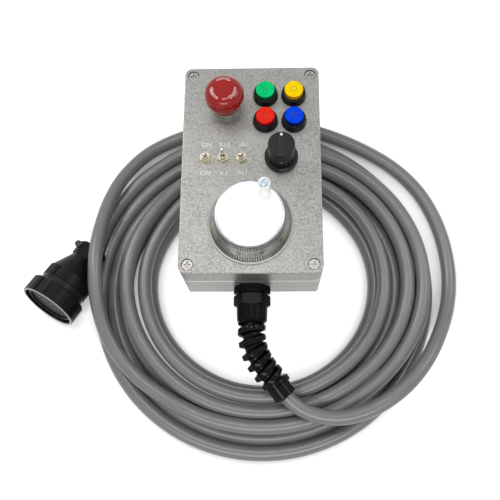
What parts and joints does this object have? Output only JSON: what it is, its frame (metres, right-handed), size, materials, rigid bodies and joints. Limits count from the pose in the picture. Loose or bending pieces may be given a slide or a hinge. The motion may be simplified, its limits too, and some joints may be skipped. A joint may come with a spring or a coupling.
{
  "type": "pendant control station",
  "caption": "Hand-held machine control box with an emergency stop, push-buttons, toggle switches, a rotary knob and a graduated handwheel, on a coiled cable with a round plug.",
  "frame": {"origin": "middle of the box with its controls, without the cable and its gland", "axes": "+Z out of the operator face, +Y along the face towards the emergency-stop end, +X to the right when the face is read"},
  "size_m": [0.335, 0.281, 0.117],
  "materials": {
    "cast_aluminium": "raw die-cast, mottled satin",
    "steel": "satin",
    "seal_rubber": "matte",
    "red_head": "gloss",
    "collar_silver": "satin",
    "nut_steel": "satin",
    "switch_body": "matte",
    "green_cap": "gloss",
    "yellow_cap": "gloss",
    "red_cap": "gloss",
    "blue_cap": "gloss",
    "black_bezel": "satin",
    "lever_chrome": "polished",
    "toggle_body": "matte",
    "brass": "satin",
    "black_knob": "satin",
    "white_mark": "matte",
    "rotary_body": "matte",
    "wheel_metal": "fine satin",
    "handle_white": "gloss",
    "handle_screw": "satin",
    "gland_black": "satin",
    "cable_jacket": "soft sheen",
    "plug_black": "satin, worn at the rim",
    "insert_black": "matte"
  },
  "bodies": {
    "housing": {"base_box": "cast_aluminium", "cover": "cast_aluminium", "cover_gasket": "seal_rubber", "cover_screws": "steel", "estop_collar": "collar_silver", "estop_seal": "seal_rubber", "estop_nut": "nut_steel", "estop_contact_block": "switch_body", "green_bezel": "black_bezel", "yellow_bezel": "black_bezel", "red_bezel": "black_bezel", "blue_bezel": "black_bezel", "button_nuts": "nut_steel", "green_contact_block": "switch_body", "yellow_contact_block": "switch_body", "red_contact_block": "switch_body", "blue_contact_block": "switch_body", "left_toggle_body": "toggle_body", "middle_toggle_body": "toggle_body", "right_toggle_body": "toggle_body", "toggle_nuts": "brass", "toggle_washers": "brass", "selector_nut": "nut_steel", "selector_body": "rotary_body", "wheel_flange": "wheel_metal", "encoder_body": "rotary_body", "encoder_screws": "steel", "gland_body": "gland_black", "gland_nut": "gland_black", "gland_locknut": "gland_black", "gland_seal": "seal_rubber", "strain_relief": "gland_black", "cable_tail": "cable_jacket", "cable_lead": "cable_jacket", "cable_coil": "cable_jacket", "plug_lead": "cable_jacket", "plug_shell": "plug_black", "plug_insert": "insert_black", "plug_backshell": "plug_black", "plug_clamp": "plug_black", "plug_clamp_screws": "steel"},
    "estop_plunger": {"estop_stem": "steel"},
    "estop_button": {"estop_head": "red_head"},
    "green_button": {"green_cap": "green_cap"},
    "yellow_button": {"yellow_cap": "yellow_cap"},
    "red_button": {"red_cap": "red_cap"},
    "blue_button": {"blue_cap": "blue_cap"},
    "left_lever": {"left_toggle_lever": "lever_chrome"},
    "middle_lever": {"middle_toggle_lever": "lever_chrome"},
    "right_lever": {"right_toggle_lever": "lever_chrome"},
    "selector": {"selector_knob": "black_knob", "knob_pointer": "white_mark", "knob_set_screw": "brass", "selector_shaft": "steel"},
    "dial": {"handwheel": "wheel_metal", "wheel_shaft": "steel", "handle_screw": "handle_screw"},
    "spinner": {"wheel_handle": "handle_white"},
    "coupling": {"plug_coupling_ring": "plug_black"}
  },
  "joints": [
    {"name": "estop_push", "type": "slide", "parent": "housing", "child": "estop_plunger", "axis": [0, 0, -1], "range_m": [0, 0.004], "stiffness_N_per_m": 1000},
    {"name": "estop_twist", "type": "hinge", "parent": "estop_plunger", "child": "estop_button", "pos_m": [-0.019, 0.0478, 0.0125], "axis": [0, 0, 1], "range_deg": [-40, 0], "stiffness_Nm_per_rad": 0.05},
    {"name": "green_press", "type": "slide", "parent": "housing", "child": "green_button", "axis": [0, 0, -1], "range_m": [0, 0.0025], "stiffness_N_per_m": 800},
    {"name": "yellow_press", "type": "slide", "parent": "housing", "child": "yellow_button", "axis": [0, 0, -1], "range_m": [0, 0.0025], "stiffness_N_per_m": 800},
    {"name": "red_press", "type": "slide", "parent": "housing", "child": "red_button", "axis": [0, 0, -1], "range_m": [0, 0.0025], "stiffness_N_per_m": 800},
    {"name": "blue_press", "type": "slide", "parent": "housing", "child": "blue_button", "axis": [0, 0, -1], "range_m": [0, 0.0025], "stiffness_N_per_m": 800},
    {"name": "left_flip", "type": "hinge", "parent": "housing", "child": "left_lever", "pos_m": [-0.0331, 0.006, 0.0149], "axis": [1, 0, 0], "range_deg": [-25, 0]},
    {"name": "middle_flip", "type": "hinge", "parent": "housing", "child": "middle_lever", "pos_m": [-0.0202, 0.006, 0.0149], "axis": [1, 0, 0], "range_deg": [0, 25]},
    {"name": "right_flip", "type": "hinge", "parent": "housing", "child": "right_lever", "pos_m": [-0.0073, 0.006, 0.0149], "axis": [1, 0, 0], "range_deg": [-25, 0]},
    {"name": "selector_turn", "type": "hinge", "parent": "housing", "child": "selector", "pos_m": [0.0216, 0.006, 0.0125], "axis": [0, 0, 1], "range_deg": [-150, 150]},
    {"name": "dial_turn", "type": "hinge", "parent": "housing", "child": "dial", "pos_m": [0, -0.044, 0.0125], "axis": [0, 0, 1], "continuous": true},
    {"name": "spinner_turn", "type": "hinge", "parent": "dial", "child": "spinner", "pos_m": [0.00991, -0.02814, 0.034], "axis": [0, 0, 1], "continuous": true},
    {"name": "coupling_turn", "type": "hinge", "parent": "housing", "child": "coupling", "pos_m": [-0.157, -0.0903, -0.04423], "axis": [-0.4872, -0.8438, 0.225], "continuous": true}
  ]
}
